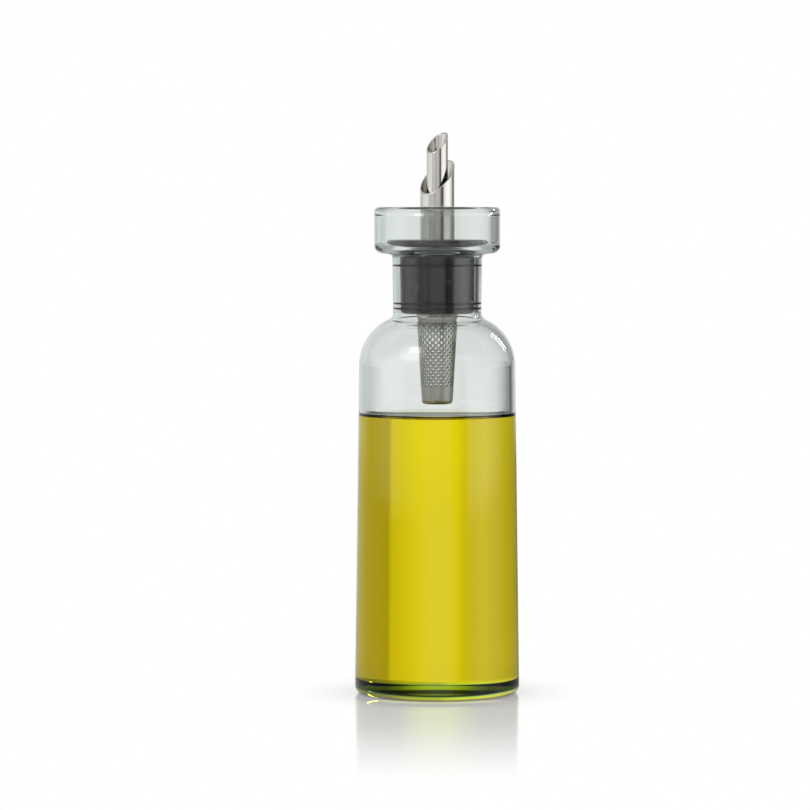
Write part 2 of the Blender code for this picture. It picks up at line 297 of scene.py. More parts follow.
def corner_arc(before, corner, after, rounding):
    """Arc of one radius that is tangent to both sides of a corner."""
    heading, turn = turning(before, corner, after)
    reach = rounding * math.tan(abs(turn) / 2)
    inward = heading + math.copysign(math.pi / 2, turn)
    centre_r = corner[0] - reach * math.cos(heading) + rounding * math.cos(inward)
    centre_z = corner[1] - reach * math.sin(heading) + rounding * math.sin(inward)
    step = min(ARC_STEP, 2 * math.acos(1 - min(ARC_SAG / rounding, 0.5)))
    steps = max(ARC_PIECES, math.ceil(abs(turn) / max(step, ARC_FINEST)))
    angles = [inward + math.pi + turn * i / steps for i in range(steps + 1)]
    return [(centre_r + rounding * math.cos(a), centre_z + rounding * math.sin(a)) for a in angles]


def outline(*corners):
    """Points (radius, height) of an outline whose corners are (radius, height, rounding).

    A corner without a third value stays sharp. Where two roundings don't both fit on the side
    between them, they share it.
    """
    points = [corner[:2] for corner in corners]
    roundings = [corner[2] if len(corner) > 2 else 0.0 for corner in corners]
    following = points[1:] + points[:1]
    turns = [turning(points[i - 1], points[i], following[i])[1] for i in range(len(points))]
    reaches = [rounding * math.tan(abs(turn) / 2) for rounding, turn in zip(roundings, turns)]
    made = []
    for i, point in enumerate(points):
        if not reaches[i]:
            made.append(point)
            continue
        next_reach = reaches[(i + 1) % len(points)]
        room_before = math.dist(points[i - 1], point) / (reaches[i - 1] + reaches[i])
        room_after = math.dist(point, following[i]) / (reaches[i] + next_reach)
        fitted = roundings[i] * min(1.0, room_before, room_after)
        made.extend(corner_arc(points[i - 1], point, following[i], fitted))
    return made


def braced(points, ring=False):
    """Outline with a point close to both ends of each long side, which keeps the shading flat."""
    made = []
    for i, point in enumerate(points):
        made.append(point)
        if i + 1 == len(points) and not ring:
            break
        after = points[(i + 1) % len(points)]
        side = math.dist(point, after)
        if side > 4 * BRACE:
            for at in (BRACE / side, 1 - BRACE / side):
                made.append(tuple(a + (b - a) * at for a, b in zip(point, after)))
    return made


def turned(name, points, sides, ring=False, lift=None):
    """Mesh of an outline turned about Z. lift(radius, angle, height) raises the points of a cut."""
    vertices, rings = [], []
    for radius, height in points:
        if radius < ON_AXIS:
            rings.append([len(vertices)] * sides)
            vertices.append((0.0, 0.0, height))
            continue
        rings.append(range(len(vertices), len(vertices) + sides))
        for i in range(sides):
            a = math.tau * i / sides
            raised = height + (lift(radius, a, height) if lift else 0.0)
            vertices.append((radius * math.cos(a), radius * math.sin(a), raised))
    faces = []
    pairs = list(zip(rings, rings[1:])) + ([(rings[-1], rings[0])] if ring else [])
    for one, other in pairs:
        for i in range(sides):
            j = (i + 1) % sides
            corners = (one[i], one[j], other[j], other[i])
            faces.append(tuple(dict.fromkeys(corners)))
    mesh = bpy.data.meshes.new(name)
    mesh.from_pydata(vertices, [], faces)
    return mesh


def face_outwards(mesh):
    """Turn every face of a closed mesh to the outside."""
    form = bmesh.new()
    form.from_mesh(mesh)
    bmesh.ops.recalc_face_normals(form, faces=form.faces)
    form.to_mesh(mesh)
    form.free()


def added(name, data):
    """New object in the scene."""
    made = bpy.data.objects.new(name, data)
    bpy.context.scene.collection.objects.link(made)
    return made


def place(mesh, body, node, finish):
    """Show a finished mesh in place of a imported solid, on its body and in its material slot."""
    mesh.materials.clear()
    mesh.materials.append(finish)
    mesh.shade_smooth()
    mesh.set_sharp_from_angle(angle=SMOOTH_ANGLE)
    piece = added(mesh.name, mesh)
    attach(piece, body)
    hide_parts(node)
    return piece


def mark(mesh, name, chosen):
    """Give each face 1 or 0, as chosen by its centre and normal."""
    values = [float(chosen(face.center, face.normal)) for face in mesh.polygons]
    mesh.attributes.new(name, "FLOAT", "FACE").data.foreach_set("value", values)


# Materials


def add_node(tree, kind, inputs=None, **settings):
    """Add a node with its settings. An input is a value, or the output socket to link to it."""
    made = tree.nodes.new(kind)
    for name, value in settings.items():
        setattr(made, name, value)
    for name, value in (inputs or {}).items():
        if isinstance(value, bpy.types.NodeSocket):
            tree.links.new(value, made.inputs[name])
        else:
            made.inputs[name].default_value = value
    return made


def first_output(tree, kind, inputs=None, **settings):
    """First output of a new node."""
    return add_node(tree, kind, inputs, **settings).outputs[0]


def new_material(name):
    """Empty node material, with its tree."""
    made = bpy.data.materials.new(name)
    made.use_nodes = True
    made.node_tree.nodes.clear()
    return made, made.node_tree


def opaque(rgb):
    """RGBA of a solid colour."""
    return (*rgb, 1.0)


def surface(tree, shader, volume=None):
    """Link a shader, and a volume if there is one, to the material's output."""
    inputs = {"Surface": shader.outputs[0]}
    if volume:
        inputs["Volume"] = volume.outputs[0]
    add_node(tree, "ShaderNodeOutputMaterial", inputs)


def add_maths(tree, operation, *values):
    """Result of a maths node."""
    return first_output(tree, "ShaderNodeMath", dict(enumerate(values)), operation=operation)


def add_product(tree, first, *others):
    """Product of two or more values."""
    for other in others:
        first = add_maths(tree, "MULTIPLY", first, other)
    return first


def add_ramp(tree, value, low, high, at_low=0.0, at_high=1.0, kind="LINEAR"):
    """Goes from at_low to at_high while a value goes from low to high, and stays level beyond."""
    inputs = {0: value, "From Min": low, "From Max": high, "To Min": at_low, "To Max": at_high}
    return first_output(tree, "ShaderNodeMapRange", inputs, interpolation_type=kind)


def add_mix(tree, part, first, second):
    """Mix of two numbers."""
    return first_output(tree, "ShaderNodeMix", {0: part, 2: first, 3: second}, data_type="FLOAT")


def add_colour_mix(tree, part, first, second):
    """Mix of two colours."""
    inputs = {0: part, 6: first, 7: second}
    return add_node(tree, "ShaderNodeMix", inputs, data_type="RGBA").outputs[2]


def noise(tree, scale, detail, stretch=None):
    """Noise over the piece, at a scale in cycles per metre. A stretch gives one scale per axis."""
    way = add_node(tree, "ShaderNodeTexCoord").outputs["Object"]
    if stretch:
        way = first_output(tree, "ShaderNodeMapping", {"Vector": way, "Scale": stretch})
    inputs = {"Vector": way, "Scale": scale, "Detail": detail}
    return first_output(tree, "ShaderNodeTexNoise", inputs)


def bumped(tree, height, strength, distance):
    """Normal of a surface with relief, whose full height is a distance in metres."""
    inputs = {"Height": height, "Strength": strength, "Distance": distance}
    return first_output(tree, "ShaderNodeBump", inputs)


def clear_body(tree, attribute, index_without, index_with, tint, density, inputs=()):
    """Clear material whose index depends on a face attribute, and whose tint deepens with depth."""
    marked = add_node(tree, "ShaderNodeAttribute", attribute_name=attribute).outputs["Fac"]
    shader = {
        "Base Color": WHITE,
        "Roughness": 0.0,
        "IOR": add_ramp(tree, marked, 0.0, 1.0, index_without, index_with),
        "Transmission Weight": 1.0,
        **dict(inputs),
    }
    volume = {"Color": opaque(tint), "Density": density}
    surface(
        tree,
        add_node(tree, "ShaderNodeBsdfPrincipled", shader),
        add_node(tree, "ShaderNodeVolumeAbsorption", volume),
    )


def solid_body(tree, tint, inputs):
    """Material that light doesn't enter."""
    shader = {"Base Color": opaque(tint), **inputs}
    surface(tree, add_node(tree, "ShaderNodeBsdfPrincipled", shader))


def borosilicate_glass():
    """Blown borosilicate glass: clear, with a faint grey-green body colour in its thicker parts.

    Where oil wets the inner wall there is no reflection, because oil and glass bend light alike.
    A slow waviness from blowing moves the reflections a little.
    """
    made, tree = new_material("blown_borosilicate_glass")
    waves = noise(tree, scale=55.0, detail=1.0)
    normal = bumped(tree, waves, strength=0.1, distance=0.0002)
    tint = bpy.context.scene.dispenser_finishes.glass_tint
    inputs = {"Normal": normal}
    clear_body(tree, "wetted", GLASS_INDEX, NO_INDEX, tint, density=100.0, inputs=inputs)
    return made


def olive_oil():
    """Olive oil: clear, yellow in a finger's depth and green along a long way through it.

    Only its free surface bends and mirrors light. Its sides touch the glass, which bends it alike.
    """
    made, tree = new_material("clear_olive_oil")
    tint = bpy.context.scene.dispenser_finishes.oil_tint
    clear_body(tree, "free_surface", NO_INDEX, OIL_INDEX, tint, density=500.0)
    return made


def moulded_silicone():
    """Moulded silicone rubber: dark grey and satin, with the fine eroded grain of its mould."""
    made, tree = new_material("moulded_silicone_rubber")
    bloom = noise(tree, scale=160.0, detail=2.0)
    grain = noise(tree, scale=4000.0, detail=2.0)
    solid_body(tree, bpy.context.scene.dispenser_finishes.silicone, {
        "Roughness": add_ramp(tree, bloom, 0.0, 1.0, at_low=0.22, at_high=0.3),
        "IOR": 1.43,
        "Normal": bumped(tree, grain, strength=0.12, distance=0.00003),
    })
    return made


def moulded_plastic():
    """Injection-moulded polypropylene: near black, a little shinier than the silicone round it."""
    made, tree = new_material("moulded_polypropylene")
    grain = noise(tree, scale=1800.0, detail=2.0)
    solid_body(tree, bpy.context.scene.dispenser_finishes.plastic, {
        "Roughness": 0.34,
        "IOR": 1.49,
        "Normal": bumped(tree, grain, strength=0.2, distance=0.00003),
    })
    return made


def drawn_steel(name, tint, rough_low, rough_high):
    """Stainless steel with the fine lengthwise lines that drawing through a die leaves.

    Real lines are about 0.05 mm wide. They are drawn 0.25 mm wide, so that they show.
    """
    made, tree = new_material(name)
    lines = noise(tree, scale=1.0, detail=2.0, stretch=(4000.0, 4000.0, 22.0))
    solid_body(tree, tint, {
        "Metallic": 1.0,
        "Roughness": add_ramp(tree, lines, 0.3, 0.7, rough_low, rough_high),
        "Normal": bumped(tree, lines, strength=0.22, distance=0.00001),
    })
    return made


# Shapes that several pieces share


def neck_heights(sizes):
    """Height of the neck's foot and of its top, above the table."""
    reach = sizes.shoulder_radius - sizes.neck_bottom_radius
    foot = sizes.shoulder_height + reach * math.tan(sizes.shoulder_slope)
    return foot, foot + sizes.neck_length


def body_bore(sizes, height):
    """Inner radius of the tapered body at a height."""
    taper = (sizes.foot_radius - sizes.shoulder_radius) / sizes.shoulder_height
    return sizes.foot_radius - taper * height - sizes.body_wall


def neck_bore(sizes, height):
    """Inner radius of the tapered neck at a height."""
    foot, _ = neck_heights(sizes)
    part = (height - foot) / sizes.neck_length
    widening = sizes.neck_top_radius - sizes.neck_bottom_radius
    return sizes.neck_bottom_radius + widening * part - sizes.neck_wall


def dome(sizes, foot, rise):
    """Points of an arc that rises over the hollow, from the axis to the standing ring at foot."""
    edge = sizes.foot_radius - sizes.foot_rounding - sizes.ring_width
    arc_radius = (edge ** 2 + rise ** 2) / (2 * rise)
    middle = foot + rise - arc_radius
    radii = [edge * i / DOME_PIECES for i in range(DOME_PIECES + 1)]
    return [(radius, middle + math.sqrt(arc_radius ** 2 - radius ** 2)) for radius in radii]


def meniscus(oil, bore):
    """Points of the oil's free surface from the wall, where it climbs the glass, to the axis."""
    wall = bore - oil.film_gap
    points = [
        (wall - step * oil.meniscus_reach, oil.level + oil.meniscus_rise * math.exp(-step))
        for step in CLIMB
    ]
    flat = (wall - CLIMB_END * oil.meniscus_reach, wall / 2, 0.0)
    return points + [(radius, oil.level) for radius in flat]


class DISPENSER_OT_bottle(bpy.types.Operator):
    """Turn the glass body, shoulder, neck and collar cup in one piece"""

    bl_idname = "dispenser.bottle"
    bl_label = "Glass Bottle"

    def execute(self, context):
        b = context.scene.dispenser_bottle
        oil = context.scene.dispenser_oil
        slope_rise = math.tan(b.shoulder_slope)
        slope_wall = b.body_wall / math.cos(b.shoulder_slope)
        neck_foot, neck_top = neck_heights(b)
        floor = b.floor_thickness
        cup_floor = neck_top + b.cup_floor
        rim_top = neck_top + b.cup_height
        rim_foot = rim_top - b.rim_height
        cup_bore = b.cup_radius - b.cup_wall
        rim_bore = cup_bore - b.rim_step
        throat = b.neck_bottom_radius - b.neck_wall
        shoulder_bore = body_bore(b, b.shoulder_height)
        cup_corner = neck_top + (b.cup_radius - b.neck_top_radius) * math.tan(b.cup_slope)
        bead_rounding = b.rim_height / 3
        rim_rounding = (b.cup_radius - rim_bore) / 2
        wet_line = oil.level + oil.meniscus_rise

        def slope_underside(radius):
            return b.shoulder_height + (b.shoulder_radius - radius) * slope_rise - slope_wall

        inside = [
            *dome(b, floor, b.floor_rise),
            (body_bore(b, floor), floor, b.inner_foot_rounding),
            (body_bore(b, wet_line), wet_line),
            (shoulder_bore, slope_underside(shoulder_bore), b.shoulder_rounding - b.body_wall),
            (throat, slope_underside(throat), b.neck_rounding + b.neck_wall),
            (neck_bore(b, cup_floor), cup_floor, b.mouth_rounding),
            (cup_bore, cup_floor, b.cup_inner_rounding),
            (cup_bore, rim_foot - 4 * b.rim_step, bead_rounding),
            (rim_bore, rim_foot, bead_rounding),
        ]
        outside = [
            (rim_bore, rim_top, rim_rounding),
            (b.cup_radius, rim_top, rim_rounding),
            (b.cup_radius, cup_corner, b.cup_rounding),
            (b.neck_top_radius, neck_top, b.cup_neck_rounding),
            (b.neck_bottom_radius, neck_foot, b.neck_rounding),
            (b.shoulder_radius, b.shoulder_height, b.shoulder_rounding),
            (b.foot_radius, 0.0, b.foot_rounding),
            *reversed(dome(b, 0.0, b.punt_depth)),
        ]
        mesh = turned("bottle_glass", braced(outline(*inside, *outside)), WIDE_SIDES)
        face_outwards(mesh)

        def wetted(centre, normal):
            """Whether a face touches the oil: on the floor, or on the wall below the oil's edge."""
            floor_edge = body_bore(b, centre.z) - b.inner_foot_rounding / 2
            inner = math.hypot(*centre.xy) < floor_edge or normal.xy.dot(centre.xy) < 0.0
            return inner and normal.z > UNDERSIDE and centre.z < wet_line

        mark(mesh, "wetted", wetted)
        place(mesh, "bottle", "glass_bottle", borosilicate_glass())
        return {"FINISHED"}


class DISPENSER_OT_oil(bpy.types.Operator):
    """Fill the body with oil that climbs the glass a little at its edge"""

    bl_idname = "dispenser.oil"
    bl_label = "Olive Oil"

    def execute(self, context):
        b = context.scene.dispenser_bottle
        oil = context.scene.dispenser_oil
        wet_line = oil.level + oil.meniscus_rise
        gap = oil.film_gap
        floor = b.floor_thickness + gap
        below = outline(
            *dome(b, floor, b.floor_rise),
            (body_bore(b, floor) - gap, floor, b.inner_foot_rounding),
            (body_bore(b, wet_line) - gap, wet_line),
        )
        surface_points = meniscus(oil, body_bore(b, wet_line))
        mesh = turned("oil_in_bottle", braced(below) + surface_points[1:], WIDE_SIDES)
        face_outwards(mesh)

        def free(centre, normal):
            return normal.z > FREE_SLOPE and centre.z > oil.level - gap

        mark(mesh, "free_surface", free)
        place(mesh, "bottle", "oil_fill", olive_oil())
        return {"FINISHED"}


class DISPENSER_OT_stopper(bpy.types.Operator):
    """Turn the silicone stopper: its flange in the cup, and one upper and two lower lips"""

    bl_idname = "dispenser.stopper"
    bl_label = "Silicone Stopper"

    def execute(self, context):
        b = context.scene.dispenser_bottle
        s = context.scene.dispenser_stopper
        spout = context.scene.dispenser_spout
        underside = PLUG_TOP - s.flange_thickness
        bore = DRIP_RADIUS + spout.fit_gap
        holder_bore = STRAINER_RADIUS + 2 * spout.fit_gap + spout.ledge
        groove = RIB_RADIUS + spout.fit_gap
        rib_top = HOLDER_TOP - spout.rib_drop
        rib_foot = rib_top - spout.rib_height
        roof = PLUG_TOP - s.skin
        foot_side = neck_bore(b, PLUG_FOOT) - s.side_gap

        def lip(height):
            """Corners of a lip that is pressed against the neck."""
            wall = neck_bore(b, height)
            root = s.lip_thickness / 2
            tip = root * LIP_TAPER
            return [
                (wall - s.side_gap, height + root, LIP_ROOT_EDGE),
                (wall + s.lip_press, height + tip, LIP_TIP_EDGE),
                (wall + s.lip_press, height - tip, LIP_TIP_EDGE),
                (wall - s.side_gap, height - root, LIP_ROOT_EDGE),
            ]

        points = outline(
            (bore, PLUG_TOP, MOUTH_EDGE),
            (FLANGE_RADIUS, PLUG_TOP, s.edge_rounding),
            (FLANGE_RADIUS, PLUG_TOP - 2 * s.edge_rounding, s.edge_rounding),
            (FLANGE_RADIUS - s.undercut, underside, FLANGE_EDGE),
            (neck_bore(b, underside) - s.side_gap, underside, FLANGE_EDGE),
            *lip(underside - s.upper_lip_drop),
            *lip(PLUG_FOOT + s.lower_lip_rise + s.lip_spacing),
            *lip(PLUG_FOOT + s.lower_lip_rise),
            (foot_side, PLUG_FOOT + s.lower_lip_rise / 3, s.foot_rounding),
            (foot_side - s.foot_taper, PLUG_FOOT, s.foot_rounding),
            (STRAINER_RADIUS + spout.fit_gap, PLUG_FOOT, MOUTH_EDGE),
            (STRAINER_RADIUS + spout.fit_gap, STRAINER_TOP),
            (holder_bore, STRAINER_TOP),
            (holder_bore, rib_foot - spout.fit_gap),
            (groove, rib_foot - spout.fit_gap),
            (groove, rib_top + spout.fit_gap),
            (holder_bore, rib_top + spout.fit_gap),
            (holder_bore, roof),
            (bore, roof),
        )
        mesh = turned("stopper_silicone", braced(points, ring=True), WIDE_SIDES, ring=True)
        face_outwards(mesh)
        place(mesh, "stopper", "stopper_plug", moulded_silicone())
        return {"FINISHED"}


class DISPENSER_OT_holder(bpy.types.Operator):
    """Turn the holder of both tubes and slot its drain flutes"""

    bl_idname = "dispenser.holder"
    bl_label = "Spout Holder"

    def execute(self, context):
        spout = context.scene.dispenser_spout
        drip_seat = DRIP_RADIUS + spout.fit_gap
        pouring_seat = POURING_RADIUS + spout.fit_gap
        flute_radius = DRIP_RADIUS - spout.tube_wall
        stem = flute_radius + spout.stem_wall
        outer = STRAINER_RADIUS + spout.fit_gap + spout.ledge
        step = STRAINER_TOP + spout.fit_gap
        rib_top = HOLDER_TOP - spout.rib_drop
        tube_seat = DRIP_FOOT - spout.fit_gap
        edge = HOLDER_EDGE
        points = outline(
            (drip_seat, HOLDER_TOP, edge),
            (outer, HOLDER_TOP, edge),
            (outer, rib_top, edge),
            (RIB_RADIUS, rib_top - spout.rib_reach, edge),
            (RIB_RADIUS, rib_top - spout.rib_height, edge),
            (outer, rib_top - spout.rib_height, edge),
            (outer, step, edge),
            (stem, step, edge),
            (stem, HOLDER_FOOT, edge),
            (pouring_seat, HOLDER_FOOT, edge),
            (pouring_seat, tube_seat, edge),
            (drip_seat, tube_seat, edge),
        )
        mesh = turned("spout_holder_moulding", points, NARROW_SIDES, ring=True)
        face_outwards(mesh)
        slots = bmesh.new()
        depth = flute_radius - POURING_RADIUS / 2
        size = Vector((depth, spout.flute_width, HOLDER_TOP - HOLDER_FOOT))
        middle = Vector((flute_radius - depth / 2, 0.0, (tube_seat + HOLDER_FOOT) / 2))
        for i in range(spout.flutes):
            turn = Matrix.Rotation(math.tau * i / spout.flutes, 4, "Z") @ Matrix.Translation(middle)
            bmesh.ops.create_cube(slots, size=1.0, matrix=turn @ Matrix.Diagonal(size.to_4d()))
        cutter_mesh = bpy.data.meshes.new("flute_cutter")
        slots.to_mesh(cutter_mesh)
        slots.free()
        cutter = added("flute_cutter", cutter_mesh)
        whole = added("holder_blank", mesh)
        cut = whole.modifiers.new("flutes", "BOOLEAN")
        cut.operation = "DIFFERENCE"
        cut.solver = "EXACT"
        cut.object = cutter
        slotted = plain_mesh(whole, "spout_holder_moulding")
        for made in (cutter, whole):
            bpy.data.objects.remove(made)
        bpy.data.meshes.remove(cutter_mesh)
        place(slotted, "spout", "spout_holder", moulded_plastic())
        return {"FINISHED"}


def plain_mesh(piece, name):
    """Mesh of an object as its modifiers leave it, which takes the name from the object's own."""
    seen = piece.evaluated_get(bpy.context.evaluated_depsgraph_get())
    mesh = bpy.data.meshes.new_from_object(seen)
    piece.data.name = name + "_blank"
    mesh.name = name
    return mesh


class DISPENSER_OT_tubes(bpy.types.Operator):
    """Turn both steel tubes, with tips cut off at a slant"""

    bl_idname = "dispenser.tubes"
    bl_label = "Steel Tubes"

    def execute(self, context):
        spout = context.scene.dispenser_spout
        finish = context.scene.dispenser_finishes
        steel = drawn_steel("drawn_stainless_tube", finish.steel, rough_low=0.1, rough_high=0.17)
        rise = math.tan(spout.slant)
        tubes = [
            ("pouring_tube_steel", "pouring_tube", POURING_RADIUS, POURING_FOOT, POURING_TIP),
            ("drip_tube_steel", "drip_tube", DRIP_RADIUS, DRIP_FOOT, DRIP_TIP),
        ]
        for name, node, radius, foot, tip in tubes:
            bore = radius - spout.tube_wall
            cut = tip - radius * rise
            edge = spout.edge

            def lift(at_radius, a, height):
                slanted = height > foot + radius
                return at_radius * math.cos(a - spout.heading) * rise if slanted else 0.0

            heights = (foot + edge, foot + 4 * edge, cut - 4 * edge, cut - edge)
            points = [
                *((radius, height) for height in heights),
                (radius - edge, cut), (bore + edge, cut),
                *((bore, height) for height in reversed(heights)),
                (bore + edge, foot), (radius - edge, foot),
            ]
            mesh = turned(name, points, NARROW_SIDES, ring=True, lift=lift)
            face_outwards(mesh)
            place(mesh, "spout", node, steel)
        return {"FINISHED"}


def perforation_tree(values):
    """Node tree that fills the gap in a plain tapered sheet with staggered round holes.

    Its inputs are the sheet, and the values by name. A hole's cell is a diamond with its corners on
    the next rows. Cells are laid on points whose place is (angle, 0, height), wrapped on the taper,
    welded to the plain sheet and made as thick as the sheet.
    """
    tree = bpy.data.node_groups.new("perforated_sheet", "GeometryNodeTree")
    tree.is_modifier = True
    tree.interface.new_socket("Sheet", in_out="INPUT", socket_type="NodeSocketGeometry")
    kinds = {int: "Int", float: "Float", bpy.types.Material: "Material"}
    for name, value in values.items():
        kind = "NodeSocket" + kinds[type(value)]
        tree.interface.new_socket(name, in_out="INPUT", socket_type=kind)
    tree.interface.new_socket("Strainer", in_out="OUTPUT", socket_type="NodeSocketGeometry")
    given = add_node(tree, "NodeGroupInput").outputs
    out, maths, times, ramp = (
        partial(made, tree) for made in (first_output, add_maths, add_product, add_ramp)
    )

    def split(vector):
        return add_node(tree, "ShaderNodeSeparateXYZ", {0: vector}).outputs

    def point(x, y, z):
        return out("ShaderNodeCombineXYZ", {0: x, 1: y, 2: z})

    def stored(geometry, name, kind, value):
        inputs = {"Geometry": geometry, "Name": name, "Value": value}
        return out("GeometryNodeStoreNamedAttribute", inputs, data_type=kind, domain="POINT")

    def recalled(name, kind):
        return out("GeometryNodeInputNamedAttribute", {"Name": name}, data_type=kind)

    def moved(geometry, position):
        return out("GeometryNodeSetPosition", {"Geometry": geometry, "Position": position})

    def radius_at(height):
        return ramp(
            height, given["Taper Foot Height"], given["Taper Top Height"],
            given["Foot Radius"], given["Collar Radius"],
        )

    def welded(*parts):
        joined = add_node(tree, "GeometryNodeJoinGeometry")
        for part in parts:
            tree.links.new(part, joined.inputs[0])
        inputs = {"Geometry": joined.outputs[0], "Distance": WELD}
        return out("GeometryNodeMergeByDistance", inputs)

    half_turn = maths("DIVIDE", math.pi, given["Holes Around"])

    # One cell: a ring of faces between the round hole and the diamond.
    circle = {"Vertices": HOLE_POINTS, "Radius": 1.0}
    ring = out("GeometryNodeMeshCircle", circle, fill_type="NONE")
    spread = add_node(
        tree, "GeometryNodeExtrudeMesh", {"Mesh": ring, "Offset Scale": 0.0}, mode="EDGES",
    )
    cell = stored(spread.outputs["Mesh"], "outline", "FLOAT", spread.outputs["Top"])
    outer = recalled("outline", "FLOAT")
    x, y, _ = split(out("GeometryNodeInputPosition"))
    hole_radius = times(given["Hole Diameter"], 0.5, maths("SUBTRACT", 1.0, outer))
    offset = point(times(x, hole_radius), 0.0, times(y, hole_radius))
    cell = stored(cell, "hole_offset", "FLOAT_VECTOR", offset)
    reach = maths("DIVIDE", outer, maths("ADD", maths("ABSOLUTE", x), maths("ABSOLUTE", y)))
    corner = point(times(x, reach, half_turn), 0.0, times(y, reach, given["Row Pitch"]))
    cell = moved(cell, corner)

    # A cell on every hole's centre.
    index = out("GeometryNodeInputIndex")
    row = maths("FLOOR", maths("DIVIDE", index, given["Holes Around"]))
    column = maths("FLOORED_MODULO", index, given["Holes Around"])
    shift = maths("FLOORED_MODULO", row, 2.0)
    turn = times(maths("ADD", times(column, 2.0), shift), half_turn)
    height = maths("ADD", given["First Row Height"], times(row, given["Row Pitch"]))
    total = times(given["Holes Around"], given["Rows"])
    centres = out("GeometryNodePoints", {"Count": total, "Position": point(turn, 0.0, height)})
    cells = out("GeometryNodeInstanceOnPoints", {"Points": centres, "Instance": cell})
    flat = out("GeometryNodeRealizeInstances", {"Geometry": cells})

    # Wrapped on the taper. A hole keeps its true width there, whatever the radius is.
    a, _, z = split(out("GeometryNodeInputPosition"))
    across, _, up = split(recalled("hole_offset", "FLOAT_VECTOR"))
    real_angle = maths("ADD", a, maths("DIVIDE", across, radius_at(z)))
    real_height = maths("ADD", z, up)
    real_radius = radius_at(real_height)
    real_x = times(real_radius, maths("COSINE", real_angle))
    real_y = times(real_radius, maths("SINE", real_angle))
    wrapped = moved(flat, point(real_x, real_y, real_height))

    # Welded to the plain sheet, then given its thickness inwards.
    skin = welded(wrapped, given["Sheet"])
    inward = out("GeometryNodeFlipFaces", {"Mesh": skin})
    inputs = {"Mesh": inward, "Offset Scale": given["Sheet Thickness"], "Individual": False}
    thick = out("GeometryNodeExtrudeMesh", inputs, mode="FACES")
    real = out("GeometryNodeRealizeInstances", {"Geometry": welded(thick, skin)})
    finished = out("GeometryNodeSetMaterial", {"Geometry": real, "Material": given["Material"]})
    add_node(tree, "NodeGroupOutput", {"Strainer": finished})
    return tree


class DISPENSER_OT_strainer(bpy.types.Operator):
    """Roll the strainer's plain collar and foot, and let the node tree punch its holes"""

    bl_idname = "dispenser.strainer"
    bl_label = "Strainer"

    def execute(self, context):
        s = context.scene.dispenser_strainer
        tint = context.scene.dispenser_finishes.sheet
        sheet = drawn_steel("perforated_stainless_sheet", tint, rough_low=0.26, rough_high=0.36)
        taper_top = STRAINER_TOP - s.collar
        first = STRAINER_FOOT + s.plain_foot
        last = first + (s.rows - 1) * s.row_pitch
        half = EDGE_POINTS // 2
        stagger = half * ((s.rows - 1) % 2)
        sides = EDGE_POINTS * s.around
        plain_from = first - 1.5 * s.row_pitch
        plain_to = last + 1.6 * s.row_pitch

        def radius_at(height):
            part = min(1.0, max(0.0, (height - STRAINER_FOOT) / (taper_top - STRAINER_FOOT)))
            return s.foot_radius + (STRAINER_RADIUS - s.foot_radius) * part

        def zigzag(k):
            """1 at a hole's column and 0 between two columns."""
            return abs(k % EDGE_POINTS - half) / half

        def level_ring(radius, height):
            return [(radius, height)] * sides

        foot_profile = braced(outline(
            (radius_at(plain_from), plain_from),
            (s.foot_radius, STRAINER_FOOT, s.foot_rounding),
            (s.wall, STRAINER_FOOT),
        ))
        gap = 2
        rings = [
            level_ring(STRAINER_RADIUS, STRAINER_TOP),
            level_ring(STRAINER_RADIUS, plain_to),
            [(None, last + s.row_pitch * zigzag(k + stagger)) for k in range(sides)],
            [(None, first - s.row_pitch * zigzag(k)) for k in range(sides)],
            *(level_ring(radius, height) for radius, height in foot_profile),
        ]
        form = bmesh.new()
        made = []
        for ring in rings:
            row = []
            for k, (radius, height) in enumerate(ring):
                radius = radius or radius_at(height)
                a = math.tau * k / sides
                row.append(form.verts.new((radius * math.cos(a), radius * math.sin(a), height)))
            made.append(row)
        pole = form.verts.new((0.0, 0.0, STRAINER_FOOT))
        for i, (upper, lower) in enumerate(zip(made, made[1:])):
            if i == gap:
                continue  # the node tree fills it
            for k in range(sides):
                j = (k + 1) % sides
                form.faces.new((upper[k], lower[k], lower[j], upper[j]))
        for k in range(sides):
            form.faces.new((made[-1][k], pole, made[-1][(k + 1) % sides]))
        plain = bpy.data.meshes.new("strainer_sheet_blank")
        form.to_mesh(plain)
        form.free()
        blank = added("strainer_blank", plain)
        values = {
            "Holes Around": s.around,
            "Rows": s.rows,
            "Hole Diameter": s.hole,
            "Row Pitch": s.row_pitch,
            "First Row Height": first,
            "Taper Foot Height": STRAINER_FOOT,
            "Taper Top Height": taper_top,
            "Foot Radius": s.foot_radius,
            "Collar Radius": STRAINER_RADIUS,
            "Sheet Thickness": s.wall,
            "Material": sheet,
        }
        punched = blank.modifiers.new("perforations", "NODES")
        punched.node_group = perforation_tree(values)
        for item in punched.node_group.interface.items_tree:
            if item.name in values:
                punched[item.identifier] = values[item.name]
        mesh = plain_mesh(blank, "strainer_sheet")
        blank.modifiers.remove(punched)
        bpy.data.objects.remove(blank)
        for name in ("outline", "hole_offset"):
            mesh.attributes.remove(mesh.attributes[name])
        face_outwards(mesh)
        place(mesh, "strainer", "strainer", sheet)
        return {"FINISHED"}


# Studio


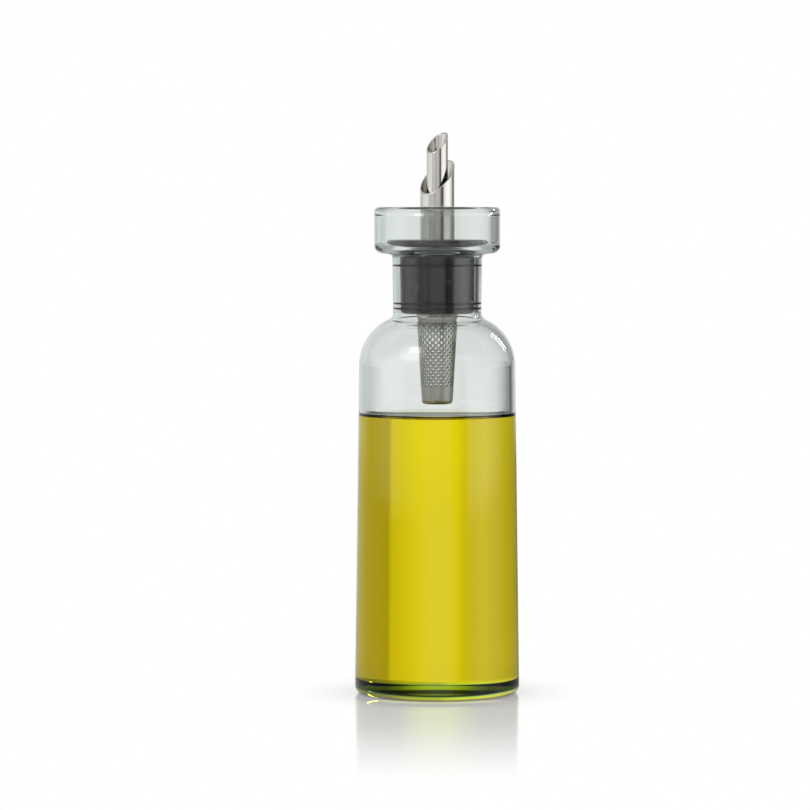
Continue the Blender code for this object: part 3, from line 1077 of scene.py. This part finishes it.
# Brightness round the bottle: heading in degrees from +Y towards +X, and level. The camera is at
# 180. The backdrop is what shines through the bottle: low through the oil, high and top through
# the clear glass, and foot for light that goes up after it has passed the oil.
BACKDROP_LOW = (
    (-180, 0.75), (-60, 0.56), (-46, 0.6), (-32, 0.64), (-23, 0.71), (-18, 0.68), (-12, 0.73),
    (-8, 0.85), (8, 0.86), (16, 0.78), (24, 0.69), (26, 0.46), (46, 0.48), (60, 0.55), (90, 0.7),
    (180, 0.75),
)
BACKDROP_HIGH = (
    (-180, 0.75), (-60, 0.6), (-30, 0.6), (-18, 0.68), (-10, 0.78), (-5, 0.85), (0, 0.87),
    (1.5, 0.86), (4, 0.79), (8, 0.75), (12, 0.58), (18, 0.25), (30, 0.12), (60, 0.2), (90, 0.6),
    (180, 0.75),
)
BACKDROP_TOP = (
    (-180, 0.7), (-60, 0.6), (-30, 0.65), (-20, 0.7), (-13, 0.78), (-5, 0.79), (3, 0.78), (8, 0.75),
    (15, 0.68), (21, 0.55), (30, 0.3), (45, 0.15), (60, 0.2), (90, 0.6), (180, 0.7),
)
BACKDROP_FOOT = (
    (-180, 0.75), (-60, 0.75), (-44, 0.82), (-30, 0.86), (-23, 0.95), (-17, 0.85), (-10, 0.88),
    (-4, 0.8), (0, 0.58), (4, 0.6), (14, 0.5), (18, 0.42), (26, 0.24), (42, 0.2), (60, 0.3),
    (90, 0.6), (180, 0.75),
)
# The studio is what surfaces mirror: low at the body, middle at the neck, high at the cup and the
# spout, and in_cup for what the light meets that has gone into the cup's glass.
STUDIO_LOW = (
    (-180, 0.68), (-171, 0.62), (-158, 0.22), (-133, 0.0), (-103, 0.03), (-80, 0.15), (-58, 0.22),
    (-26, 0.5), (-14, 0.86), (5, 0.86), (11, 0.2), (27, 0.1), (66, 0.03), (84, 0.38), (100, 0.5),
    (118, 0.58), (134, 0.25), (143, 0.0), (152, 0.1), (165, 0.6), (180, 0.68),
)
STUDIO_MIDDLE = (
    (-180, 0.4), (-163, 0.45), (-160, 0.22), (-152, 0.25), (-147, 0.38), (-136, 0.28), (-127, 0.28),
    (-122, 0.7), (-100, 0.75), (-92, 0.7), (-80, 0.35), (-70, 0.2), (-60, 0.3), (-50, 0.5),
    (-37, 0.58), (-20, 0.7), (-8, 0.85), (8, 0.85), (20, 0.66), (33, 0.15), (40, 0.08), (68, 0.03),
    (77, 0.4), (90, 1.0), (105, 1.45), (118, 1.3), (133, 1.0), (138, 0.05), (157, 0.0), (162, 0.4),
    (180, 0.4),
)
STUDIO_HIGH = (
    (-180, 0.8), (-166, 0.62), (-156, 0.75), (-146, 1.0), (-132, 0.75), (-117, 1.0), (-82, 1.0),
    (-60, 0.8), (-32, 0.7), (-22, 1.0), (22, 1.0), (28, 0.4), (60, 0.3), (78, 1.1), (100, 1.3),
    (120, 1.3), (136, 1.1), (141, 0.12), (151, 0.12), (160, 0.5), (172, 0.8), (180, 0.8),
)
STUDIO_IN_CUP = (
    (-180, 0.36), (-166, 0.28), (-156, 0.34), (-146, 0.45), (-132, 0.34), (-117, 0.45), (-82, 0.45),
    (-60, 0.5), (-40, 0.6), (-26, 0.75), (-15, 0.5), (0, 0.45), (15, 0.3), (25, 0.2), (41, 0.4),
    (60, 0.25), (78, 0.5), (100, 0.6), (136, 0.5), (141, 0.06), (151, 0.06), (160, 0.22),
    (172, 0.36), (180, 0.36),
)

# Softbox left of the camera, as mirrored: its direction, how near to that it starts, and its level.
SOFTBOX_WAY = (-0.602, -0.623, 0.5)
SOFTBOX_EDGE = 0.91
SOFTBOX_LEVEL = 1.9

# Light has gone through more faces than this once it has passed the oil, and fewer otherwise.
OIL_PASSED = 4.5

# Levels that don't depend on the heading.
UNDER_TABLE_MIRRORED = 0.42
UNDER_TABLE = 0.8
UNDER_OIL = 0.03
ON_MATT_SURFACES = 0.9

# Distances from the bottle's axis over which the table turns from shadow to plain white, and over
# which its mirror image fades, with the shares of white and of mirror at both ends.
SHADOW_FADE = (0.03, 0.058, 0.3, 1.0)
MIRROR_FADE = (0.05, 0.23, 0.47, 0.0)

# Height that the lamps look at.
LIT_HEIGHT = 0.12

# Colours of light that has passed the oil beside a dim backdrop, and up through the green foot.
WARM = (1.0, 0.9, 0.8, 1.0)
GREEN = (0.72, 1.0, 0.5, 1.0)


def studio_world():
    """White backdrop behind the bottle, grey right of it, and a dim camera side with a softbox.

    The camera sees plain white, and matt surfaces are lit by nearly white. Light that went straight
    through the glass sees the backdrop, and light that a surface mirrored sees the whole studio.
    Light paths tell these apart. The z of a direction tells which part of the object sent it.
    """
    world = bpy.data.worlds.new("studio")
    world.use_nodes = True
    tree = world.node_tree
    tree.nodes.clear()
    maths, times, ramp, mixed, coloured = (
        partial(made, tree) for made in (add_maths, add_product, add_ramp, add_mix, add_colour_mix)
    )
    way = add_node(tree, "ShaderNodeTexCoord").outputs["Generated"]
    x, y, z = add_node(tree, "ShaderNodeSeparateXYZ", {0: way}).outputs
    aside = maths("ABSOLUTE", x)
    heading = ramp(maths("ARCTAN2", x, y), -math.pi, math.pi)

    def ring(stops):
        """Brightness by heading."""
        made = add_node(tree, "ShaderNodeValToRGB", {"Fac": heading})
        elements = made.color_ramp.elements
        elements.remove(elements[-1])
        for i, (degrees, level) in enumerate(stops):
            at = (degrees + 180) / 360
            element = elements.new(at) if i else elements[0]
            element.position = at
            element.color = (level, level, level, 1.0)
        return made.outputs["Color"]

    path = add_node(tree, "ShaderNodeLightPath").outputs
    mirrored = maths("GREATER_THAN", path["Glossy Depth"], 0.5)
    entered = maths("GREATER_THAN", path["Transmission Depth"], 0.5)
    oiled = maths("GREATER_THAN", path["Transmission Depth"], OIL_PASSED)

    # The studio, from the table up. Beyond both sides of the cup it is brighter.
    beside = times(ramp(aside, 0.8, 0.95, 0.0, 0.8), ramp(z, -0.004, -0.002, 1.0, 0.0))
    high = times(ring(STUDIO_HIGH), maths("ADD", beside, 1.0))
    high = mixed(entered, high, ring(STUDIO_IN_CUP))
    studio = mixed(ramp(z, -0.15, -0.1), UNDER_TABLE_MIRRORED, ring(STUDIO_LOW))
    studio = mixed(ramp(z, -0.065, -0.054), studio, ring(STUDIO_MIDDLE))
    studio = mixed(ramp(z, -0.024, -0.01), studio, high)
    studio = times(studio, ramp(z, 0.21, 0.34, 1.0, 0.75))

    # Mirrored light that leaves the glass upwards and away: from the shoulder, or from the foot.
    from_foot = times(
        ramp(aside, 0.1, 0.3, 0.6, 0.18),
        ramp(aside, 0.3, 0.42, 1.0, 0.45),
        ramp(z, 0.29, 0.39, 1.0, 0.07),
    )
    from_foot = mixed(ramp(z, 0.52, 0.65), from_foot, 0.75)
    from_shoulder = ramp(x, -0.15, 0.15, 0.72, 0.4)
    behind = times(ramp(y, 0.2, 0.4), entered, ramp(z, -0.01, 0.04))
    studio = mixed(behind, studio, mixed(oiled, from_shoulder, from_foot))

    # The backdrop, from the table up.
    low = times(ring(BACKDROP_LOW), ramp(z, -0.1, -0.08, 0.93, 1.0))
    high = mixed(ramp(z, -0.025, -0.015), ring(BACKDROP_HIGH), ring(BACKDROP_TOP))
    above_oil = ramp(z, -0.062, -0.056)
    backdrop = mixed(above_oil, low, high)
    backdrop = mixed(times(oiled, ramp(z, 0.0, 0.08)), backdrop, ring(BACKDROP_FOOT))
    backdrop = times(backdrop, ramp(z, 0.26, 0.36, 1.0, 0.25))

    # Straight down it is bright, but dark for what the oil's surface mirrors.
    seen = mixed(ramp(z, -0.65, -0.52, 1.0, 0.0), mixed(mirrored, backdrop, studio), UNDER_TABLE)
    under_oil = times(mirrored, oiled, ramp(z, -0.8, -0.6, 1.0, 0.0))
    seen = mixed(under_oil, seen, UNDER_OIL)

    near = add_node(tree, "ShaderNodeVectorMath", {0: way, 1: SOFTBOX_WAY}, operation="DOT_PRODUCT")
    glow = ramp(near.outputs["Value"], SOFTBOX_EDGE, 1.0, 0.0, SOFTBOX_LEVEL, "SMOOTHERSTEP")
    seen = maths("ADD", seen, times(mirrored, glow))
    seen = mixed(path["Is Diffuse Ray"], seen, ON_MATT_SURFACES)
    seen = mixed(path["Is Camera Ray"], seen, 1.0)

    dim = ramp(low, 0.45, 0.8, 1.0, 0.0)
    warm = times(dim, maths("SUBTRACT", oiled, mirrored), maths("SUBTRACT", 1.0, above_oil))
    tint = coloured(times(behind, mirrored, oiled), coloured(warm, WHITE, WARM), GREEN)
    background = first_output(tree, "ShaderNodeBackground", {"Color": tint, "Strength": seen})
    add_node(tree, "ShaderNodeOutputWorld", {"Surface": background})
    return world


def acrylic_table():
    """White acrylic sheet: matt white, with a faint mirror image near the bottle.

    The camera sees it white where it isn't in shadow. Light that the glass bent or mirrored passes
    through it, so that the bottle shows the studio down to its foot.
    """
    made, tree = new_material("white_acrylic_table")
    ramp = partial(add_ramp, tree, kind="SMOOTHSTEP")
    place_on = add_node(tree, "ShaderNodeTexCoord").outputs["Object"]
    away = add_node(tree, "ShaderNodeVectorMath", {0: place_on}, operation="LENGTH")
    away = away.outputs["Value"]
    path = add_node(tree, "ShaderNodeLightPath").outputs

    def either(part, first, second):
        inputs = {0: part, 1: first.outputs[0], 2: second.outputs[0]}
        return add_node(tree, "ShaderNodeMixShader", inputs)

    pale = opaque(bpy.context.scene.dispenser_studio.floor_colour)
    white = add_node(tree, "ShaderNodeBsdfDiffuse", {"Color": pale})
    clean = add_node(tree, "ShaderNodeEmission", {"Color": WHITE, "Strength": 1.0})
    lit = add_product(tree, path["Is Camera Ray"], ramp(away, *SHADOW_FADE))
    matt = either(lit, white, clean)
    dust = noise(tree, scale=90.0, detail=3.0)
    rough = ramp(dust, 0.3, 0.7, at_low=0.05, at_high=0.08)
    gloss = add_node(tree, "ShaderNodeBsdfGlossy", {"Color": WHITE, "Roughness": rough})
    top = either(ramp(away, *MIRROR_FADE), matt, gloss)
    passing = add_maths(tree, "MAXIMUM", path["Is Transmission Ray"], path["Is Glossy Ray"])
    surface(tree, either(passing, top, add_node(tree, "ShaderNodeBsdfTransparent")))
    return made


def softbox(name, place_at, size, strength, mirrored):
    """Area lamp that looks at the bottle's shoulder and that the camera doesn't see."""
    lamp = bpy.data.lights.new(name, "AREA")
    lamp.shape = "RECTANGLE"
    lamp.size, lamp.size_y = size
    lamp.energy = strength
    made = added(name, lamp)
    made.location = place_at
    towards = Vector((0.0, 0.0, LIT_HEIGHT)) - Vector(place_at)
    made.rotation_euler = towards.to_track_quat("-Z", "Y").to_euler()
    made.visible_camera = False
    made.visible_glossy = mirrored
    return made


class DISPENSER_OT_stage(bpy.types.Operator):
    """Set up the white table, the studio, the soft lamps and the camera"""

    bl_idname = "dispenser.stage"
    bl_label = "Stage"

    def execute(self, context):
        scene = context.scene
        studio = scene.dispenser_studio
        table = turned("white_table", [(0.0, 0.0), (studio.floor_radius, 0.0)], TABLE_SIDES)
        table.flip_normals()
        table.materials.append(acrylic_table())
        floor = added("white_table", table)
        scene.world = studio_world()
        softbox("softbox_left", (-0.55, -0.62, 0.75), (0.3, 0.3), strength=1.6, mirrored=False)
        softbox("strip_back_right", (0.8, 0.75, 0.6), (0.04, 0.45), strength=1.2, mirrored=True)
        lens = bpy.data.cameras.new("camera")
        lens.sensor_width = 36.0
        lens.lens = studio.lens
        lens.clip_start = 0.01
        camera = added("camera", lens)
        camera.location = (-studio.camera_side, -studio.camera_distance, studio.camera_height)
        camera.rotation_euler = (math.pi / 2 - studio.camera_pitch, 0.0, 0.0)
        scene.camera = camera
        scene.view_settings.view_transform = "Standard"
        return {"FINISHED"}


OPERATORS = (
    DISPENSER_OT_bottle,
    DISPENSER_OT_oil,
    DISPENSER_OT_stopper,
    DISPENSER_OT_holder,
    DISPENSER_OT_tubes,
    DISPENSER_OT_strainer,
    DISPENSER_OT_stage,
)


class DISPENSER_PT_panel(bpy.types.Panel):
    """Sizes, colours and operators of the oil dispenser"""

    bl_idname = "DISPENSER_PT_panel"
    bl_label = "Oil Dispenser"
    bl_space_type = "VIEW_3D"
    bl_region_type = "UI"
    bl_category = "Oil Dispenser"

    def draw(self, context):
        for name, group in GROUPS.items():
            box = self.layout.box()
            box.label(text=name.replace("dispenser_", "").capitalize())
            for setting in group.__annotations__:
                box.prop(getattr(context.scene, name), setting)
        for operator in OPERATORS:
            self.layout.operator(operator.bl_idname)


def register():
    for group in GROUPS.values():
        bpy.utils.register_class(group)
    for name, group in GROUPS.items():
        setattr(bpy.types.Scene, name, bpy.props.PointerProperty(type=group))
    for made in (*OPERATORS, DISPENSER_PT_panel):
        bpy.utils.register_class(made)


def unregister():
    for made in reversed((*OPERATORS, DISPENSER_PT_panel)):
        bpy.utils.unregister_class(made)
    for name, group in reversed(GROUPS.items()):
        delattr(bpy.types.Scene, name)
        bpy.utils.unregister_class(group)


def main():
    """Build every piece and the stage."""
    register()
    for operator in OPERATORS:
        group, name = operator.bl_idname.split(".")
        getattr(getattr(bpy.ops, group), name)()


if __name__ == "__main__":
    main()
